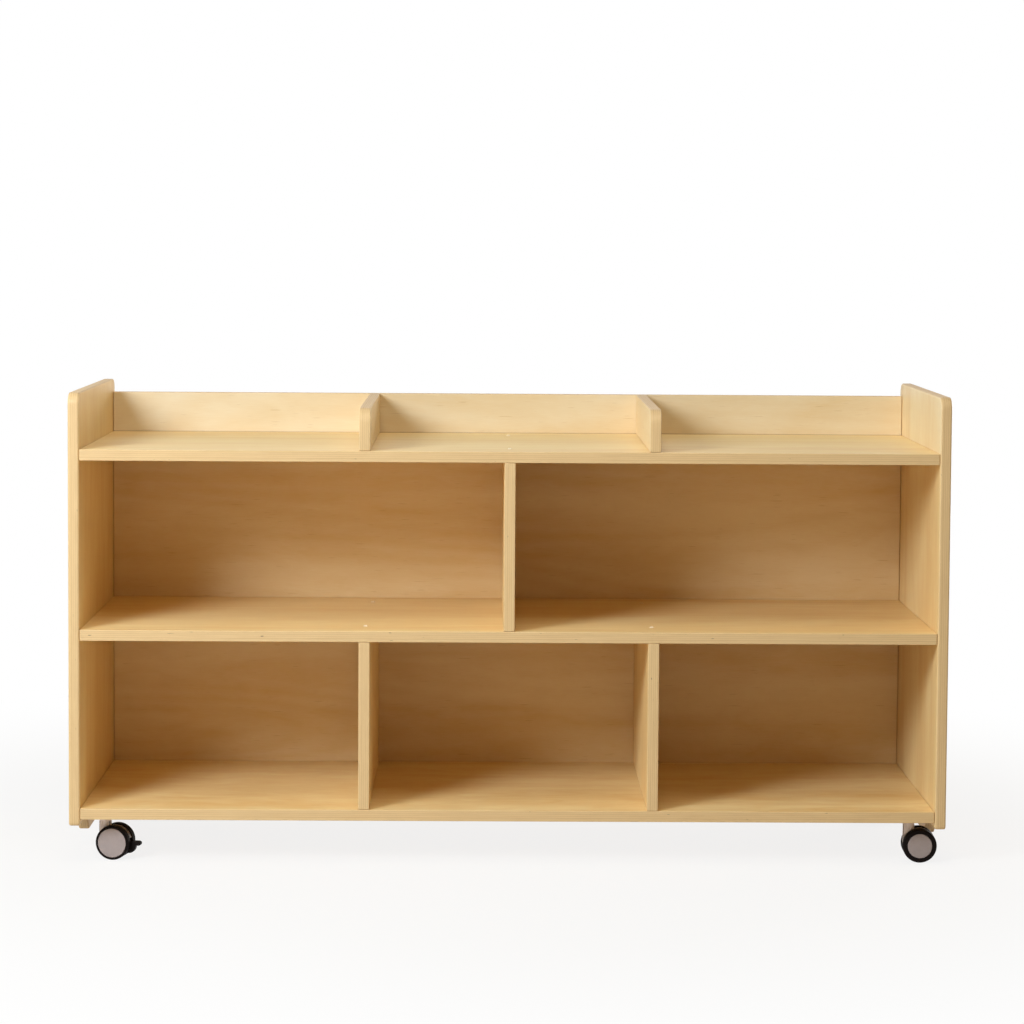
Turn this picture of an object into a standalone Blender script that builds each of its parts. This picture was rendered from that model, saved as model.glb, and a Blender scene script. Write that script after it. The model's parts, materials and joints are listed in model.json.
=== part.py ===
"""A mobile cube shelf in birch plywood: a three-part tray on top, two bays in the middle row and three in
the lower row, on four twin-wheel swivel casters, two of them with a brake pedal.

Metres, +Z up. The origin is on the floor under the middle of the unit, and the open front faces -Y.
"""

import math

import bmesh
import bpy
from mathutils import Matrix, Vector

# Clearances
FIT = 0.0003  # left between pieces that touch
RUNNING_FIT = 0.0002  # round an axle or a pin

# Carcass
WIDTH = 1.200  # over the outer faces of the side panels
DEPTH = 0.400  # side panels, front edge to rear edge
PLY = 0.015  # every board
BAY_HEIGHT = 0.231  # clear height inside each row of bays
TRAY_HEIGHT = 0.058  # back panel and tray dividers above the top shelf
SIDE_RISE = 0.019  # side panels above the back panel
SIDE_DROP = 0.009  # side panels below the bottom shelf, at the casters
SKIRT_DROP = 0.024  # and lower again between the casters
SKIRT_FROM_EDGE = 0.102  # where that lower part starts
BACK_INSET = 0.008  # back panel in from the side panels' rear edges
BACK_SIDE_GAP = 0.0012  # open joint between the back panel and each side panel
BOARD_SETBACK = 0.0008  # shelves and dividers behind the side panels' front edges
TOP_CORNER = 0.016  # radius of the side panels' upper corners
BOTTOM_CORNER = 0.005  # radius of their lower corners
SKIRT_CORNER = 0.006  # radius of the corners of the skirt's sloping ends
SIDE_EASE = 0.0025  # rounded arris all round a side panel
BOARD_EASE = 0.0012  # rounded arris on the free edges of the other boards
EASE_STEPS = 2
CORNER_STEPS = 4

# Screws that hold the dividers from above
SCREW_LENGTH = 0.045
SCREW_SHANK = 0.0020  # radius
SCREW_HEAD = 0.0040  # radius
SCREW_TIP = 0.006  # length of the point
SCREW_SINK = 0.0002  # head below the shelf's face
SCREW_FROM_FRONT = 0.055
SCREW_FROM_BACK = 0.055  # from the back panel's face
SCREW_SIDES = 12

# Caster wheels
WHEEL_DIAMETER = 0.047
WHEEL_WIDTH = 0.0115
WHEEL_GAP = 0.010  # between a caster's two wheels
TREAD_BRAKED = 0.0021  # tyre thickness on the casters with a brake
TREAD_PLAIN = 0.0053  # tyre thickness on the others
TYRE_SHOULDER = 0.0030  # largest radius of a tyre's outer edges
SHOULDER_SHARE = 0.7  # of the tyre's thickness, where that is less
RIM_WALL = 0.0008
WEB = 0.0022  # wheel core's disc
HUB_RADIUS = 0.0055
HUB_LENGTH = 0.0085
CAP_THICKNESS = 0.0016
CAP_CHAMFER = 0.0005
CAP_CROWN = 0.0004
WHEEL_SIDES = 24

# Caster frame
CASTER_FROM_SIDE = 0.029  # swivel axis from a side panel's inner face
CASTER_FROM_EDGE = 0.050  # swivel axis from the side panels' front or rear edges
TRAIL = 0.0145  # swivel axis to axle
AXLE_RADIUS = 0.0030
AXLE_END = 0.0005  # axle's end inside the hub
NECK_RADIUS = 0.00775
NECK_LENGTH = 0.0121  # above the wheels
NECK_CLEARANCE = 0.0008  # round the wheels, where they cut into the neck
NECK_FOOT = 0.007  # lower end of the round neck, above the axle
NECK_ROOT = 0.003  # hood carried up inside the neck
COLLAR_THICKNESS = 0.0015
STEM_RADIUS = 0.0040
STEM_IN_SHELF = 0.0120
STEM_IN_NECK = 0.0110
HOOD_STEP = 0.0012  # hood's rim inside the tyre's radius
HOOD_SIDE_GAP = 0.0007  # hood to each wheel
HOOD_EASE = 0.0008
HOOD_REAR = math.radians(14)  # hood's rear end, above the level of the axle
HOOD_NOSE = 0.003  # front end, below the level of the axle
BOSS_RADIUS = 0.0070
SHAFT_SIDES = 16
NECK_SIDES = 18

# Brake
PIVOT_BACK = 0.0135  # pin behind the axle
PIVOT_DOWN = 0.0030  # pin below the axle
PIN_RADIUS = 0.0015
PIN_END = 0.0002  # pin's end inside the hood's face
CHEEK_RADIUS = 0.0045
CHEEK_GAP = 0.0005  # pedal to the rounded cheeks
LUG_RADIUS = 0.0042
LUG_HALF = 0.0017
PEDAL_SIDE_GAP = 0.0010  # pedal to each wheel
PEDAL_EASE = 0.0007
TONGUE_TOP = 0.0044  # above the pin
TONGUE_THICKNESS = 0.0062
TONGUE_REACH = 0.0225  # beyond the pin
LOBE_RADIUS = 0.0095  # rounded belly
LOBE_BACK = 0.0068  # its centre behind the pin
LOBE_DOWN = 0.0030  # its centre below the pin
LOBE_START = math.radians(-110)
PEDAL_HEEL = math.radians(-62)
PIN_SIDES = 12
ARC_STEPS = 5

# Heights and faces that the sizes above set
WHEEL_RADIUS = WHEEL_DIAMETER / 2
NECK_BASE = WHEEL_DIAMETER + NECK_CLEARANCE
NECK_TOP = NECK_BASE + NECK_LENGTH
COLLAR_BASE = NECK_TOP + FIT
BOTTOM_SHELF = COLLAR_BASE + COLLAR_THICKNESS + FIT
MIDDLE_SHELF = BOTTOM_SHELF + PLY + BAY_HEIGHT
TOP_SHELF = MIDDLE_SHELF + PLY + BAY_HEIGHT
TRAY_TOP = TOP_SHELF + PLY + TRAY_HEIGHT
SIDE_TOP = TRAY_TOP + SIDE_RISE
SIDE_BOTTOM = BOTTOM_SHELF - SIDE_DROP
FRONT = -DEPTH / 2
BOARD_FRONT = FRONT + BOARD_SETBACK
BACK_FACE = DEPTH / 2 - BACK_INSET - PLY
INNER_FACE = WIDTH / 2 - PLY
THIRD_WIDTH = (2 * INNER_FACE - 2 * PLY) / 3
THIRD = (THIRD_WIDTH + PLY) / 2  # the middles of the two dividers that make three bays
HOOD_HALF = WHEEL_GAP / 2 - HOOD_SIDE_GAP
PEDAL_HALF = WHEEL_GAP / 2 - PEDAL_SIDE_GAP
SCREW_ROWS = {"front": FRONT + SCREW_FROM_FRONT, "rear": BACK_FACE - SCREW_FROM_BACK}

# Name, end of the unit, front or rear, how far the caster has swivelled, and whether it has a brake
CASTERS = (
    ("front_left", -1, -1, math.radians(-12), True),
    ("front_right", 1, -1, math.radians(-2), False),
    ("rear_left", -1, 1, math.radians(-6), True),
    ("rear_right", 1, 1, math.radians(4), False),
)

# Colour, roughness and metallic value of each finish
FINISHES = {
    "birch": ((0.76, 0.55, 0.32), 0.50, 0.0),
    "zinc": ((0.72, 0.70, 0.66), 0.35, 1.0),
    "steel": ((0.60, 0.60, 0.60), 0.30, 1.0),
    "grey_plastic": ((0.36, 0.32, 0.29), 0.45, 0.0),
    "grey_cap": ((0.33, 0.28, 0.26), 0.40, 0.0),
    "black_plastic": ((0.012, 0.011, 0.011), 0.40, 0.0),
    "rubber": ((0.014, 0.013, 0.012), 0.65, 0.0),
}


def make_finishes():
    for name, (colour, roughness, metallic) in FINISHES.items():
        finish = bpy.data.materials.new(name)
        finish.use_nodes = True
        shader = finish.node_tree.nodes["Principled BSDF"]
        shader.inputs["Base Color"].default_value = (*colour, 1.0)
        shader.inputs["Roughness"].default_value = roughness
        shader.inputs["Metallic"].default_value = metallic


def add(name, shape, finish, at=(0, 0, 0), turn=(0, 0, 0), parent=None, smooth=True):
    """A bmesh as a named object, placed in its parent."""
    mesh = bpy.data.meshes.new(name)
    bmesh.ops.recalc_face_normals(shape, faces=shape.faces)
    shape.to_mesh(mesh)
    shape.free()
    if smooth:
        mesh.shade_smooth()
        mesh.set_sharp_from_angle(angle=math.radians(35))
    mesh.materials.append(bpy.data.materials[finish])
    obj = bpy.data.objects.new(name, mesh)
    obj.location = at
    obj.rotation_euler = turn
    obj.parent = parent
    bpy.context.scene.collection.objects.link(obj)
    return obj


def add_tool(name, shape, finish, at=(0, 0, 0), turn=(0, 0, 0), parent=None):
    """A shape that only cuts or joins others, and isn't a piece itself."""
    tool = add(name, shape, finish, at, turn, parent)
    tool.hide_render = True
    tool.display_type = "WIRE"
    return tool


def combine(obj, tool, operation):
    modifier = obj.modifiers.new(f"{operation.lower()}_{tool.name}", "BOOLEAN")
    modifier.operation = operation
    modifier.solver = "EXACT"
    modifier.object = tool


def arc(centre, radius, start, end, steps):
    """Points on a circle from one angle to another, both ends included."""
    angles = [start + (end - start) * i / steps for i in range(steps + 1)]
    return [(centre[0] + radius * math.cos(a), centre[1] + radius * math.sin(a)) for a in angles]


def turned(profile, sides, closed=False):
    """A solid of revolution about Z from (radius, height) points. Its flats stand at the stated radii. A
    profile starts and ends on the axis, or is closed, for a ring."""
    shape = bmesh.new()
    half_side = math.pi / sides
    points = [Vector((radius / math.cos(half_side), 0, height)) for radius, height in profile]
    turn = Matrix.Rotation(half_side, 3, "Z")
    verts = [shape.verts.new(turn @ point) for point in points]
    links = list(zip(verts, verts[1:]))
    if closed:
        links.append((verts[-1], verts[0]))
    edges = [shape.edges.new(link) for link in links]
    bmesh.ops.spin(
        shape,
        geom=verts + edges,
        axis=(0, 0, 1),
        cent=(0, 0, 0),
        angle=2 * math.pi,
        steps=sides,
        use_merge=True,
    )
    bmesh.ops.remove_doubles(shape, verts=shape.verts, dist=1e-6)
    return shape


def rod(radius, low, high, sides):
    return turned([(0, low), (radius, low), (radius, high), (0, high)], sides)


def extruded(outline, half, ease):
    """An outline of (x, z) points made a slab of thickness 2 * half across Y, with its edges eased."""
    shape = bmesh.new()
    face = shape.faces.new([shape.verts.new((x, -half, z)) for x, z in outline])
    moved = bmesh.ops.extrude_face_region(shape, geom=[face])["geom"]
    across = [item for item in moved if isinstance(item, bmesh.types.BMVert)]
    bmesh.ops.translate(shape, verts=across, vec=(0, 2 * half, 0))
    bmesh.ops.recalc_face_normals(shape, faces=shape.faces)
    if ease:
        rims = [edge for edge in shape.edges if edge.verts[0].co.y == edge.verts[1].co.y]
        round_edges(shape, rims, ease)
    return shape


def round_edges(shape, edges, radius):
    bmesh.ops.bevel(
        shape,
        geom=edges,
        offset=radius,
        segments=EASE_STEPS,
        profile=0.5,
        affect="EDGES",
        clamp_overlap=True,
    )


def board(name, low, high, is_free):
    """A plywood board between two corners. is_free picks, by the middle of an edge, those with a rounded
    arris."""
    low = Vector(low)
    high = Vector(high)
    centre = (low + high) / 2
    shape = bmesh.new()
    bmesh.ops.create_cube(shape, size=1.0, matrix=Matrix.Diagonal((*(high - low), 1.0)))
    half = (high - low) / 2
    middles = {edge: (edge.verts[0].co + edge.verts[1].co) / 2 for edge in shape.edges}
    free = [edge for edge, middle in middles.items() if is_free([m / h for m, h in zip(middle, half)])]
    round_edges(shape, free, BOARD_EASE)
    return add(name, shape, "birch", at=centre, smooth=False)


# An edge's middle, in shares of the board's half sizes, is -1 or 1 on the faces that it lies on


def on_front(middle):
    return middle[1] < -0.5


def on_front_long(middle):
    return on_front(middle) and abs(middle[2]) > 0.5


def on_front_upright(middle):
    return on_front(middle) and abs(middle[0]) > 0.5


def on_top_long(middle):
    return middle[2] > 0.5 and abs(middle[1]) > 0.5


def on_front_or_top(middle):
    return on_front_upright(middle) or (middle[2] > 0.5 and (on_front(middle) or abs(middle[0]) > 0.5))


def rounded(corners):
    """A closed outline, counter-clockwise, of ((x, z), radius) corners, each rounded by an arc tangent to its
    two sides."""
    points = [Vector(corner) for corner, _ in corners]
    outline = []
    for before, (corner, radius), after in zip(points[-1:] + points, corners, points[1:] + points[:1]):
        corner = Vector(corner)
        back = (before - corner).normalized()
        ahead = (after - corner).normalized()
        half = back.angle(ahead) / 2
        centre = corner + (back + ahead).normalized() * radius / math.sin(half)
        first = corner + back * radius / math.tan(half) - centre
        sweep = math.copysign(math.pi - 2 * half, -back.cross(ahead))
        start = math.atan2(first.y, first.x)
        outline += arc(centre, radius, start, start + sweep, CORNER_STEPS)
    return outline


def side_panel(name, end):
    """A board with a round-cornered outline in the YZ plane, eased all round. Between the casters it reaches
    lower, as a skirt with sloping ends that clear the wheels."""
    skirt_bottom = SIDE_BOTTOM - SKIRT_DROP
    skirt_end = -FRONT - SKIRT_FROM_EDGE
    slope_top = skirt_end + SKIRT_DROP
    half = [
        ((skirt_end, skirt_bottom), SKIRT_CORNER),
        ((slope_top, SIDE_BOTTOM), SKIRT_CORNER),
        ((-FRONT, SIDE_BOTTOM), BOTTOM_CORNER),
        ((-FRONT, SIDE_TOP), TOP_CORNER),
    ]
    other_half = [((-y, z), radius) for (y, z), radius in reversed(half)]
    shape = extruded(rounded(half + other_half), PLY / 2, SIDE_EASE)
    across = end * (INNER_FACE + PLY / 2)
    return add(name, shape, "birch", at=(across, 0, 0), turn=(0, 0, math.pi / 2), smooth=False)


def shelf(name, underside):
    low = (-INNER_FACE + FIT, BOARD_FRONT, underside)
    high = (INNER_FACE - FIT, BACK_FACE - FIT, underside + PLY)
    return board(name, low, high, on_front_long)


def divider(name, x, floor, top, is_free):
    """An upright board that stands on a shelf, against the back panel."""
    low = (x - PLY / 2, BOARD_FRONT, floor + FIT)
    high = (x + PLY / 2, BACK_FACE - FIT, top)
    return board(name, low, high, is_free)


def screw_profile(clearance, over):
    """Countersunk screw, point down, with its head's face at height 0. over carries the head on upwards, to
    cut its hole with."""
    shank = SCREW_SHANK + clearance
    head = SCREW_HEAD + clearance
    point = -SCREW_LENGTH - clearance
    cone = head - shank
    profile = [(0, point), (shank, point + SCREW_TIP), (shank, -cone), (head, 0)]
    if over:
        profile.append((head, over))
    return profile + [(0, over)]


def screw(name, x, y, face, boards):
    """A screw down through a shelf's upper face into the divider under it, with its hole in both."""
    at = (x, y, face - SCREW_SINK)
    add(name, turned(screw_profile(0, 0), SCREW_SIDES), "zinc", at)
    hole = add_tool(f"{name}_hole", turned(screw_profile(FIT, SCREW_HEAD), SCREW_SIDES), "zinc", at)
    for piece in boards:
        combine(piece, hole, "DIFFERENCE")


def carcass():
    side_panel("side_panel_left", -1)
    side_panel("side_panel_right", 1)
    bottom = shelf("bottom_shelf", BOTTOM_SHELF)
    middle = shelf("middle_shelf", MIDDLE_SHELF)
    top = shelf("top_shelf", TOP_SHELF)
    back_reach = INNER_FACE - BACK_SIDE_GAP
    board(
        "back_panel",
        (-back_reach, BACK_FACE, BOTTOM_SHELF),
        (back_reach, BACK_FACE + PLY, TRAY_TOP),
        on_top_long,
    )
    centre = divider("centre_divider", 0, MIDDLE_SHELF + PLY, TOP_SHELF - FIT, on_front_upright)
    for side, end in (("left", -1), ("right", 1)):
        x = end * THIRD
        divider(f"tray_divider_{side}", x, TOP_SHELF + PLY, TRAY_TOP, on_front_or_top)
        lower = divider(f"lower_divider_{side}", x, BOTTOM_SHELF + PLY, MIDDLE_SHELF - FIT, on_front_upright)
        for row, y in SCREW_ROWS.items():
            screw(f"middle_shelf_screw_{side}_{row}", x, y, MIDDLE_SHELF + PLY, (middle, lower))
    for row, y in SCREW_ROWS.items():
        screw(f"top_shelf_screw_{row}", 0, y, TOP_SHELF + PLY, (top, centre))
    return bottom


def tyre_shape(tread):
    """A ring with rounded outer edges."""
    inside = WHEEL_GAP / 2
    outside = inside + WHEEL_WIDTH
    bore = WHEEL_RADIUS - tread
    shoulder = min(TYRE_SHOULDER, SHOULDER_SHARE * tread)
    reach = WHEEL_RADIUS - shoulder
    quarter = math.pi / 2
    profile = [(bore, outside)]
    profile += arc((reach, outside - shoulder), shoulder, quarter, 0, EASE_STEPS)
    profile += arc((reach, inside + shoulder), shoulder, 0, -quarter, EASE_STEPS)
    profile.append((bore, inside))
    return turned(profile, WHEEL_SIDES, closed=True)


def core_shape(radius):
    """A cup with its rim and hub round a disc on the inner side, open outwards."""
    inside = WHEEL_GAP / 2
    outside = inside + WHEEL_WIDTH
    floor = inside + WEB
    hub_end = inside + HUB_LENGTH
    bore = AXLE_RADIUS + RUNNING_FIT
    profile = [
        (bore, hub_end),
        (HUB_RADIUS, hub_end),
        (HUB_RADIUS, floor),
        (radius - RIM_WALL, floor),
        (radius - RIM_WALL, outside),
        (radius, outside),
        (radius, inside),
        (bore, inside),
    ]
    return turned(profile, WHEEL_SIDES, closed=True)


def cap_shape(radius):
    """A cover disc with a chamfered rim and a low crown."""
    face = WHEEL_GAP / 2 + WHEEL_WIDTH
    profile = [
        (0, face + CAP_CROWN),
        (radius - CAP_CHAMFER, face),
        (radius, face - CAP_CHAMFER),
        (radius, face - CAP_THICKNESS),
        (0, face - CAP_THICKNESS),
    ]
    return turned(profile, WHEEL_SIDES)


def wheel(name, side, tread, swivel):
    """Tyre, core and cap on the axle's line, with the cap facing away from the hood."""
    axle = (TRAIL, 0, WHEEL_RADIUS)
    outwards = (-side * math.pi / 2, 0, 0)
    core_radius = WHEEL_RADIUS - tread - FIT
    add(f"{name}_tyre", tyre_shape(tread), "rubber", axle, outwards, swivel)
    add(f"{name}_wheel_core", core_shape(core_radius), "black_plastic", axle, outwards, swivel)
    cap_radius = core_radius - RIM_WALL - FIT
    add(f"{name}_cap", cap_shape(cap_radius), "grey_cap", axle, outwards, swivel)


def hood_outline():
    """The housing's side view, about the axle: hood between the wheels, neck, axle boss and cheeks."""
    rim = WHEEL_RADIUS - HOOD_STEP
    neck_rear = NECK_RADIUS - TRAIL
    neck_front = -NECK_RADIUS - TRAIL
    root = NECK_BASE + NECK_ROOT - WHEEL_RADIUS
    pivot = (PIVOT_BACK, -PIVOT_DOWN)
    outline = arc((0, 0), rim, HOOD_REAR, math.acos(neck_rear / rim), 2 * ARC_STEPS)
    outline += [(neck_rear, root), (neck_front, root), (neck_front, -HOOD_NOSE)]
    outline += arc((0, 0), BOSS_RADIUS, math.radians(230), math.radians(320), ARC_STEPS)
    outline += arc(pivot, CHEEK_RADIUS, math.radians(-120), math.radians(75), ARC_STEPS)
    return [(TRAIL + x, WHEEL_RADIUS + z) for x, z in outline]


def housing(name, swivel, braked):
    hood = extruded(hood_outline(), HOOD_HALF, HOOD_EASE)
    piece = add(f"{name}_housing", hood, "grey_plastic", parent=swivel)
    sideways = (math.pi / 2, 0, 0)
    axle = (TRAIL, 0, WHEEL_RADIUS)
    past_hood = 2 * HOOD_HALF
    neck = rod(NECK_RADIUS, WHEEL_RADIUS + NECK_FOOT, NECK_TOP, NECK_SIDES)
    combine(piece, add_tool(f"{name}_neck", neck, "grey_plastic", parent=swivel), "UNION")
    for side, facing in (("front", sideways), ("rear", (-math.pi / 2, 0, 0))):
        room = rod(WHEEL_RADIUS + NECK_CLEARANCE, HOOD_HALF, HOOD_HALF + NECK_RADIUS, WHEEL_SIDES)
        tool = add_tool(f"{name}_{side}_wheel_room", room, "steel", axle, facing, swivel)
        combine(piece, tool, "DIFFERENCE")
    stem_hole = rod(STEM_RADIUS + FIT, NECK_TOP - STEM_IN_NECK - FIT, NECK_TOP + STEM_IN_NECK, NECK_SIDES)
    combine(piece, add_tool(f"{name}_stem_hole", stem_hole, "steel", parent=swivel), "DIFFERENCE")
    axle_hole = rod(AXLE_RADIUS + RUNNING_FIT, -past_hood, past_hood, NECK_SIDES)
    combine(piece, add_tool(f"{name}_axle_hole", axle_hole, "steel", axle, sideways, swivel), "DIFFERENCE")
    if braked:
        pivot = (TRAIL + PIVOT_BACK, 0, WHEEL_RADIUS - PIVOT_DOWN)
        slot_half = LUG_HALF + FIT
        fork = rod(CHEEK_RADIUS + CHEEK_GAP, -slot_half, slot_half, NECK_SIDES)
        combine(piece, add_tool(f"{name}_fork", fork, "steel", pivot, sideways, swivel), "DIFFERENCE")
        pin_hole = rod(PIN_RADIUS + RUNNING_FIT, -past_hood, past_hood, PIN_SIDES)
        hole = add_tool(f"{name}_pin_hole", pin_hole, "steel", pivot, sideways, swivel)
        combine(piece, hole, "DIFFERENCE")
        brake(name, pivot, sideways, swivel, hole)


def pedal_outline():
    """The pedal's side view, about its pin: a tongue to step on, over a rounded belly."""
    inner = CHEEK_RADIUS + CHEEK_GAP
    tip = TONGUE_THICKNESS / 2
    tongue_underside = TONGUE_TOP - TONGUE_THICKNESS
    tip_centre = (TONGUE_REACH - tip, TONGUE_TOP - tip)
    quarter = math.pi / 2
    outline = arc((0, 0), inner, math.asin(TONGUE_TOP / inner), PEDAL_HEEL, ARC_STEPS)
    lobe_end = math.asin((tongue_underside + LOBE_DOWN) / LOBE_RADIUS)
    outline += arc((LOBE_BACK, -LOBE_DOWN), LOBE_RADIUS, LOBE_START, lobe_end, 2 * ARC_STEPS)
    outline += arc(tip_centre, tip, -quarter, quarter, ARC_STEPS)
    return outline


def lug_outline():
    """The eye round the pin, with a root that reaches into the pedal."""
    root = CHEEK_RADIUS + CHEEK_GAP + LUG_HALF
    spread = math.radians(40)
    eye = arc((0, 0), LUG_RADIUS, math.radians(70), math.radians(290), 2 * ARC_STEPS)
    return eye + arc((0, 0), root, -spread, spread, 2)


def brake(name, pivot, sideways, swivel, hole):
    """The pedal, hung between the hood's cheeks, and its pin."""
    pedal = add(
        f"{name}_brake_pedal",
        extruded(pedal_outline(), PEDAL_HALF, PEDAL_EASE),
        "black_plastic",
        pivot,
        parent=swivel,
    )
    lug = add_tool(f"{name}_lug", extruded(lug_outline(), LUG_HALF, 0), "black_plastic", pivot, parent=swivel)
    combine(pedal, lug, "UNION")
    combine(pedal, hole, "DIFFERENCE")
    reach = HOOD_HALF - PIN_END
    add(f"{name}_brake_pin", rod(PIN_RADIUS, -reach, reach, PIN_SIDES), "steel", pivot, sideways, swivel)


def stem(name, swivel, bottom_shelf):
    """A steel stem with a collar under the shelf. It is round, so it sits in the swivel's frame."""
    collar_top = BOTTOM_SHELF - FIT
    foot = NECK_TOP - STEM_IN_NECK
    head = BOTTOM_SHELF + STEM_IN_SHELF
    profile = [
        (0, foot),
        (STEM_RADIUS, foot),
        (STEM_RADIUS, COLLAR_BASE),
        (NECK_RADIUS, COLLAR_BASE),
        (NECK_RADIUS, collar_top),
        (STEM_RADIUS, collar_top),
        (STEM_RADIUS, head),
        (0, head),
    ]
    add(f"{name}_stem", turned(profile, SHAFT_SIDES), "steel", parent=swivel)
    hole = rod(STEM_RADIUS + FIT, BOTTOM_SHELF - PLY, head + FIT, NECK_SIDES)
    combine(bottom_shelf, add_tool(f"{name}_shelf_hole", hole, "steel", parent=swivel), "DIFFERENCE")


def caster(name, end, row, swivelled, braked, bottom_shelf):
    """One caster in its swivel's frame: Z up the stem, X along the trail to the axle, Y along the axle."""
    swivel = bpy.data.objects.new(f"{name}_swivel", None)
    x = end * (INNER_FACE - CASTER_FROM_SIDE)
    y = row * (DEPTH / 2 - CASTER_FROM_EDGE)
    swivel.location = (x, y, 0)
    swivel.rotation_euler = (0, 0, swivelled)
    bpy.context.scene.collection.objects.link(swivel)
    stem(name, swivel, bottom_shelf)
    housing(name, swivel, braked)
    half_axle = WHEEL_GAP / 2 + HUB_LENGTH - AXLE_END
    shaft = rod(AXLE_RADIUS, -half_axle, half_axle, SHAFT_SIDES)
    add(f"{name}_axle", shaft, "steel", (TRAIL, 0, WHEEL_RADIUS), (math.pi / 2, 0, 0), swivel)
    tread = TREAD_BRAKED if braked else TREAD_PLAIN
    wheel(f"{name}_outer", row, tread, swivel)
    wheel(f"{name}_inner", -row, tread, swivel)


def main():
    for obj in list(bpy.data.objects):
        bpy.data.objects.remove(obj, do_unlink=True)
    make_finishes()
    bottom_shelf = carcass()
    for place in CASTERS:
        caster(*place, bottom_shelf)


main()
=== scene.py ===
"""Looks of the mobile cube shelf: birch plywood boards with their grain and ply edges, screws with a cross
recess, and twin-wheel casters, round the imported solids.

Metres, +Z up, front towards -Y. Every surface is a grid of points worked out with numpy, in the part's frame.
"""

import json
import math

import bpy
import numpy as np
from mathutils import Matrix, Vector


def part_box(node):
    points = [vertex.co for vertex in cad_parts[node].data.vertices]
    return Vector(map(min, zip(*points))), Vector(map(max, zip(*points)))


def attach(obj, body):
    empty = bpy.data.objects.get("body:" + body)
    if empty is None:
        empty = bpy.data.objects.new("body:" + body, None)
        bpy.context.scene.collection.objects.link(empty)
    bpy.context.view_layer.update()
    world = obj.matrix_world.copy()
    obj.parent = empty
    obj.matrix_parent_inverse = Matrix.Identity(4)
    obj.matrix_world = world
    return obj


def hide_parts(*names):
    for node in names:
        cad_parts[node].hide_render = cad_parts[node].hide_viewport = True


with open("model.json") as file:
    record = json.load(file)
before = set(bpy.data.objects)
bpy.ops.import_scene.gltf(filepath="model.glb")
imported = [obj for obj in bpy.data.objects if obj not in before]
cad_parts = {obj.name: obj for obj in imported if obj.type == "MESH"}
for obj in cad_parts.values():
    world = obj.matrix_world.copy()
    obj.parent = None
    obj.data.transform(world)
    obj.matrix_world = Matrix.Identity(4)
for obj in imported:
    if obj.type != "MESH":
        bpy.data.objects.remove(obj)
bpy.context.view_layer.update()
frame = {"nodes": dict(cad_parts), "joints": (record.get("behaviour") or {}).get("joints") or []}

# Camera
CAMERA_PLACE = (-0.03903, -4.22503, 0.86717)
CAMERA_PITCH = math.radians(3.711)  # down
CAMERA_YAW = math.radians(0.5853)  # to the right
CAMERA_ROLL = math.radians(0.3663)
SENSOR = 36.0
PHOTO_SIDE = 1024
FOCAL_PIXELS = 2974.57
LENS_CENTRE_ROW = 424.74  # in pixels, from the top of the picture
LENS_SHIFT = (LENS_CENTRE_ROW - PHOTO_SIDE / 2) / PHOTO_SIDE

# Boards: the axis that each is thin along, and the axis that its face grain follows
X, Y, Z = 0, 1, 2
BOARDS = {
    "side_panel_left": (X, Z),
    "side_panel_right": (X, Z),
    "back_panel": (Y, X),
    "top_shelf": (Z, X),
    "middle_shelf": (Z, X),
    "bottom_shelf": (Z, X),
    "tray_divider_left": (X, Y),
    "tray_divider_right": (X, Y),
    "centre_divider": (X, Z),
    "lower_divider_left": (X, Z),
    "lower_divider_right": (X, Z),
}
BACK_GROWTH = 0.0006  # the back panel's ends nearly meet the side panels
BOARD_CORNER = 0.0012  # radius of a board's corners in its outline
SHELF_CORNER = 0.0018
TRAY_DIVIDER_CORNER = 0.020  # its upper front corner
UPPER_FRONT = 3  # that corner's number, where 0 is the lower front
JOINT_LINE = 0.0007  # left open between a shelf and the back panel, and the height on the back panel of the painted shade line along the tray's floor
BOARD_EASE = 0.0009  # radius of a board's arrises
SIDE_EASE = 0.0025
SIDE_TOP_CORNER = 0.016
SIDE_BOTTOM_CORNER = 0.005
SKIRT_DROP = 0.024  # the side panels' skirt below their lower corners
SKIRT_FROM_EDGE = 0.102
SKIRT_CORNER = 0.006
CORNER_STEPS = 10
EASE_STEPS = 6
CREASE = math.radians(38)
FLAT_AREA = 0.001  # faces from here up are flat, in square metres

# Screws
SCREW_SHANK = 0.0020
SCREW_HEAD = 0.0040
SCREW_LENGTH = 0.045
SCREW_TIP = 0.006
SCREW_POINT = 0.0001
SCREW_RIM = 0.0002  # rounded edge of the head
SCREW_RIM_STEPS = 4
SCREW_DOME = 0.0018
SCREW_MIDDLE = 0.00005  # radius of the small flat in the dome's middle
SCREW_FACE_STEPS = 40
SCREW_FIT = 0.0003  # countersink round the head
CROSS_REACH = 0.0016  # arms of the cross recess, from the middle
CROSS_WIDTH = 0.0004  # half the width of an arm
CROSS_DEPTH = 0.0012
CROSS_SLOPE = 0.00035  # width of the sloping walls

# Casters, in the swivel's frame: along the trail, across it along the axle, and up
ROUND = 96  # sides of what is turned
WHEEL_WIDTH = 0.0115
WHEEL_GAP = 0.010
TREAD_BRAKED = 0.0021
TREAD_PLAIN = 0.0053
SHOULDER = 0.0030
SHOULDER_SHARE = 0.7  # of the tread, at most
SHOULDER_STEPS = 8
SEAM = 0.0003  # between tyre, core and cap
RIM_WALL = 0.0008
WEB = 0.0022
HUB_RADIUS = 0.0055
HUB_LENGTH = 0.0085
CORE_ROUND = 0.0003
CORE_STEPS = 3
CAP_THICKNESS = 0.0016
CAP_ROUND = 0.0005
CAP_ROUND_STEPS = 5
CAP_CROWN = 0.0004
CAP_CROWN_STEPS = 24
CAP_MIDDLE = 0.0002  # radius of the small flat in the cap's middle
AXLE_RADIUS = 0.0030
AXLE_FIT = 0.0002
AXLE_END = 0.0005
NECK_RADIUS = 0.00775
NECK_TOP = 0.0599
NECK_ROUND = 0.0008
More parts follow.
